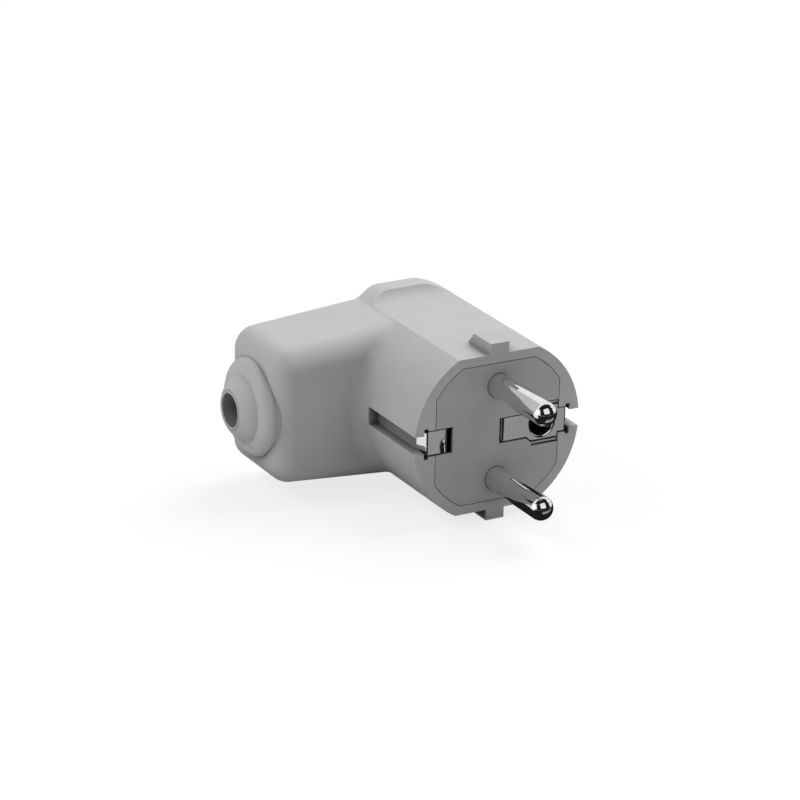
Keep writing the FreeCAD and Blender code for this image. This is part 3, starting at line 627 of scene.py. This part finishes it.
def boot_outline():
    points = []
    for step in range(COLLAR_STEPS + 1):
        angle = math.pi / 2 * step / COLLAR_STEPS
        points.append((ARM_END_X - COLLAR_LENGTH * math.sin(angle),
                       NOSE_RADIUS + (COLLAR_RADIUS - NOSE_RADIUS) * math.cos(angle)))
    tip_x = boot_low.x
    for step in range(1, NOSE_STEPS):
        share = step / NOSE_STEPS
        swell = 4 * NOSE_BULGE * share * (1 - share)
        points.append((COLLAR_END_X + (tip_x - COLLAR_END_X) * share - swell * BULGE_FORWARD,
                       NOSE_RADIUS + (LIP_RADIUS - NOSE_RADIUS) * share + swell))
    lip_middle, lip_half = (LIP_RADIUS + WAY_RADIUS) / 2, (LIP_RADIUS - WAY_RADIUS) / 2
    for step in range(LIP_STEPS + 1):
        angle = math.pi * step / LIP_STEPS
        points.append((tip_x + lip_half * (1 - math.sin(angle)),
                       lip_middle + lip_half * math.cos(angle)))
    points += [(boot_high.x, WAY_RADIUS), (boot_high.x, FLANGE), (WALL_INSIDE_X, FLANGE),
               (WALL_INSIDE_X, NECK), (ARM_END_X, NECK)]
    return points


print("boot reaches from", round(boot_low.x, 5), "to", round(boot_high.x, 5))

# %% [markdown]
# ## Turning the boot
# Inside the way the plastic lies in shade, which is painted in, while the rest of the boot is
# pale.
# The way could be a piece of its own, but it is one skin on the real boot. So the faces near the
# cable's axis only get the second material of the same mesh, a darker copy with painted shade.

# %% Turn the boot and paint shade into its way
WAY_MARGIN = 0.02 * MM
PALE_LIP = 0.4 * MM
boot = lathe("soft_cable_boot", boot_outline(), (0, CABLE_Y, 0), (1, 0, 0), (0, 1, 0), boot_grey,
             closed=True)
# The second material paints the shade inside the cable's way.
boot.data.materials.append(bore_shade_paint)
for face in boot.data.polygons:
    off_axis = math.hypot(face.center.y - CABLE_Y, face.center.z)
    if off_axis < WAY_RADIUS + WAY_MARGIN and face.center.x > boot_low.x + PALE_LIP:
        face.material_index = 1
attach(boot, "root")
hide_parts("cable_boot")

# %% [markdown]
# ## The floor
# The plug lies on one pale sheet. Lit as a plain sheet it would come out grey at its far end. For
# rays that come from the camera, a mirror or glass it is mixed with plain white instead, so the
# background is white, while the plug's shadow stays.

# %% A pale floor under the plug
FLOOR_HALF = 4
WHITE_SHARE = 0.78


def seen_directly(tree):
    path = add(tree, "LightPath")
    first = add(tree, "Math", {0: path.outputs["Is Camera Ray"], 1: path.outputs["Is Glossy Ray"]},
                operation="MAXIMUM")
    return add(tree, "Math", {0: first.outputs[0], 1: path.outputs["Is Transmission Ray"]},
               operation="MAXIMUM").outputs[0]


def pale_floor():
    material, tree, shader = start_finish("pale_studio_floor")
    place = add(tree, "TexCoord").outputs["Object"]
    paper = add(tree, "TexNoise", {"Vector": place, "Scale": 700.0, "Detail": 3.0})
    tint = add(tree, "MapRange", {"Value": paper.outputs["Fac"], "To Min": 0.78, "To Max": 0.82})
    plug_in(tree, shader.inputs["Base Color"], tint.outputs["Result"])
    shader.inputs["Roughness"].default_value = 0.9
    shader.inputs["Specular IOR Level"].default_value = 0.1
    white = add(tree, "Emission", {"Color": grey(1.0), "Strength": 1.0})
    share = add(tree, "Math", {0: seen_directly(tree), 1: WHITE_SHARE}, operation="MULTIPLY")
    both = add(tree, "MixShader", {0: share.outputs[0], 1: shader.outputs[0], 2: white.outputs[0]})
    tree.links.new(both.outputs[0], tree.nodes["Material Output"].inputs["Surface"])
    return material


def sheet(name, corners, finish):
    mesh = bmesh.new()
    mesh.faces.new([mesh.verts.new(corner) for corner in corners])
    made = settle(name, mesh, finish)
    return made


def level_corners(x0, x1, y0, y1, z):
    return [(x0, y0, z), (x1, y0, z), (x1, y1, z), (x0, y1, z)]


floor_z = cad_box[0][2]
sheet("studio_floor", level_corners(-FLOOR_HALF, FLOOR_HALF, -FLOOR_HALF, FLOOR_HALF, floor_z),
      pale_floor())
print("floor at", round(floor_z, 5))

# %% [markdown]
# ## Cards for the bright plate
# In an all-white room nickel looks like white plaster. A studio puts black paper beside the lens
# and grey or white cards round the object, so that the metal has dark and pale things to mirror.
# The cards could be paper that the lamps light, but then their tone would follow every lamp. Here
# they glow at a set level and only mirror rays see them, so they neither light nor shade the
# plastic. Those on the floor lie half a millimetre above it.

# %% Black, grey and white cards
BLACK = 0.015
LOW_LIFT, HIGH_LIFT = 0.4 * MM, 0.6 * MM


def card_paint(name, level):
    material, tree, shader = start_finish(name)
    glow = add(tree, "Emission", {"Color": grey(level), "Strength": 1.0})
    tree.links.new(glow.outputs[0], tree.nodes["Material Output"].inputs["Surface"])
    return material


def card(name, corners, level):
    made = sheet(name, corners, card_paint(name + "_paint", level))
    made.visible_camera = False
    made.visible_diffuse = False
    made.visible_transmission = False
    made.visible_shadow = False


card("front_flag", [(-2.5, -1.0, -0.01), (2.5, -1.0, -0.01), (2.5, -1.0, 1.6), (-2.5, -1.0, 1.6)],
     BLACK)
card("top_flag", [(-2.5, -1.0, 1.6), (2.5, -1.0, 1.6), (2.5, -0.3, 1.1), (-2.5, -0.3, 1.1)], BLACK)
card("roof_flag", level_corners(-1.2, 1.2, -0.3, 0.35, 1.1), BLACK)
card("lens_card", [(-0.48, -0.98, 0.28), (0.36, -0.98, 0.28), (0.36, -0.46, 0.92),
                   (-0.48, -0.46, 0.92)], 1.0)
card("back_grey_card", [(-2.5, 1.3, 0.0), (0.0, 1.3, 0.0), (0.0, 1.3, 1.6), (-2.5, 1.3, 1.6)],
     0.62)
card("side_card", [(-0.96, 0.58, 0.01), (-1.11, -0.1, 0.01), (-0.94, -0.14, 0.59),
                   (-0.79, 0.54, 0.59)], 1.5)
card("front_floor_flag", level_corners(-0.7, 1.2, -1.0, -0.02, floor_z + LOW_LIFT), BLACK)
# Under the head this black flag gives mirrors the dark of the plug's shadow on the floor: a
# painted shadow.
card("painted_shadow_flag", level_corners(-0.05, 0.3, -0.02, 0.25, floor_z + LOW_LIFT), BLACK)
card("grey_floor_card", level_corners(-0.005, 0.05, -0.052, -0.03, floor_z + HIGH_LIFT), 0.34)
card("back_floor_card", level_corners(0.0, 2.5, 0.3, 2.5, floor_z + HIGH_LIFT), 1.0)

# %% [markdown]
# ## The room's light
# A white room lights the plug evenly from all sides. An image of a real room would bring its own
# colours, so the world is one plain white. It looks fully white where the camera or a mirror meets
# it, and lights the plug at a lower level, which leaves the lamps something to shape.

# %% A plain white world
ROOM_LEVEL = 0.384
world = bpy.data.worlds.new("studio_world")
world.use_nodes = True
bpy.context.scene.world = world
sky = world.node_tree
background = sky.nodes["Background"]
level = add(sky, "MapRange", {"Value": seen_directly(sky), "To Min": ROOM_LEVEL, "To Max": 1.0})
plug_in(sky, background.inputs["Strength"], level.outputs["Result"])
background.inputs["Color"].default_value = grey(1.0)
print("room level:", ROOM_LEVEL)

# %% [markdown]
# ## Lamps
# Small lamps would draw hard shadows, so both lamps are broad. One hangs over the plug on the side
# away from the cable and makes the upward faces the brightest. The other hangs above the cable's
# side and lights the arm's end and the head's flank. The face, turned to the camera, keeps the
# room's light. Mirrors see the side card and not the lamps, so a lamp can move without changing
# the shine of the pins.

# %% Two soft lamps
LAMP_AIM = Vector((0, 0.02, 0))


def soft_lamp(name, place, side, power):
    data = bpy.data.lights.new(name, "AREA")
    data.shape = "RECTANGLE"
    data.size = data.size_y = side
    data.energy = power
    lamp = bpy.data.objects.new(name, data)
    bpy.context.scene.collection.objects.link(lamp)
    lamp.location = place
    lamp.rotation_euler = (LAMP_AIM - Vector(place)).to_track_quat("-Z", "Y").to_euler()
    lamp.visible_glossy = False
    print("lamp:", name, power, "W")


soft_lamp("overhead_lamp", (0.6, 0.15, 0.8), side=0.9, power=11.7)
soft_lamp("cable_side_lamp", (-0.7, 0.2, 0.72), side=0.5, power=4.5)

bpy.context.scene.view_settings.view_transform = "Standard"
